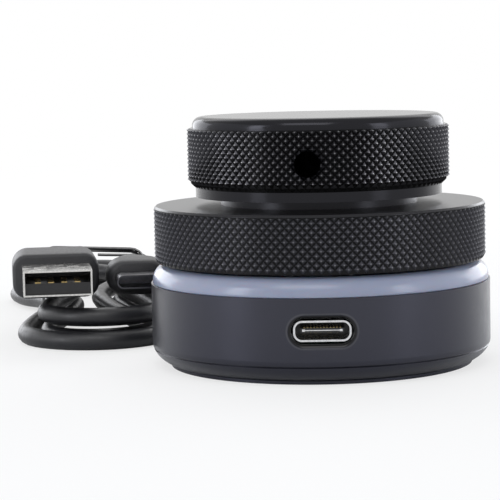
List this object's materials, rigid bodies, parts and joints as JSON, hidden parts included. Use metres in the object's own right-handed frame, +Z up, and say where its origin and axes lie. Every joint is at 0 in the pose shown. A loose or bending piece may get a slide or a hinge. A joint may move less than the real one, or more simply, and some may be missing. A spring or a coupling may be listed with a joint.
{
  "type": "usb volume control knob",
  "caption": "Round desktop control with a knurled press-and-turn knob over a wider knurled dial, a translucent light ring, a metal base with a USB socket, and a tied lead.",
  "frame": {"origin": "centre of the foot pad's underside, on the desk", "axes": "+Z up along the axis both dials turn about; the socket looks along -Y"},
  "size_m": [0.0925, 0.1336, 0.0409],
  "materials": {
    "rubber": "matt moulded rubber",
    "base_metal": "satin dark blue-grey anodised",
    "dial_metal": "turned and anodised, dark grey, satin",
    "knob_metal": "black chrome knurl with a polished cap",
    "diffuser": "milky translucent, smoky",
    "steel": "bright steel",
    "black_steel": "blackened steel",
    "tin": "tinned steel",
    "brass": "turned brass",
    "gold": "gold-plated contact",
    "board": "green solder mask",
    "black_plastic": "black moulded plastic",
    "white_plastic": "white moulded plastic",
    "part_body": "surface-mount part bodies",
    "lead_jacket": "soft black jacket, matt",
    "overmould": "fine-textured black overmould",
    "tie": "black plastic-covered wire tie",
    "dark_nickel": "dark nickel"
  },
  "bodies": {
    "housing": {"foot_pad": "rubber", "bottom_cover": "base_metal", "cover_screws": "steel", "base_shell": "base_metal", "light_ring": "diffuser", "led_board": "board", "leds": "white_plastic", "led_board_screws": "steel", "main_board": "board", "board_screws": "steel", "controller_chip": "black_plastic", "board_parts": "part_body", "board_connector": "white_plastic", "usb_socket_plate": "steel", "usb_socket_shell": "tin", "usb_socket_tongue": "black_plastic", "usb_socket_contacts": "gold", "encoder_housing": "black_plastic", "encoder_bushing": "steel", "encoder_pins": "tin", "bushing_washer": "steel", "bushing_nut": "steel", "lead_hank": "lead_jacket", "lead_tie": "tie", "usb_a_shell": "tin", "usb_a_tongue": "black_plastic", "usb_a_contacts": "gold", "usb_a_overmould": "overmould", "usb_c_plug_shell": "dark_nickel", "usb_c_plug_overmould": "overmould"},
    "dial": {"outer_shaft": "steel", "dial_core": "brass", "lower_dial": "dial_metal"},
    "press": {"switch_plunger": "white_plastic"},
    "knob": {"inner_shaft": "steel", "grub_screw": "black_steel", "volume_knob": "knob_metal"}
  },
  "joints": [
    {"name": "dial_spin", "type": "hinge", "parent": "housing", "child": "dial", "pos_m": [0, 0, 0.02], "axis": [0, 0, 1], "continuous": true},
    {"name": "knob_press", "type": "slide", "parent": "housing", "child": "press", "axis": [0, 0, -1], "range_m": [0, 0.0005], "stiffness_N_per_m": 4000, "springref_m": -0.0005},
    {"name": "knob_spin", "type": "hinge", "parent": "press", "child": "knob", "pos_m": [0, 0, 0.03], "axis": [0, 0, 1], "continuous": true}
  ]
}
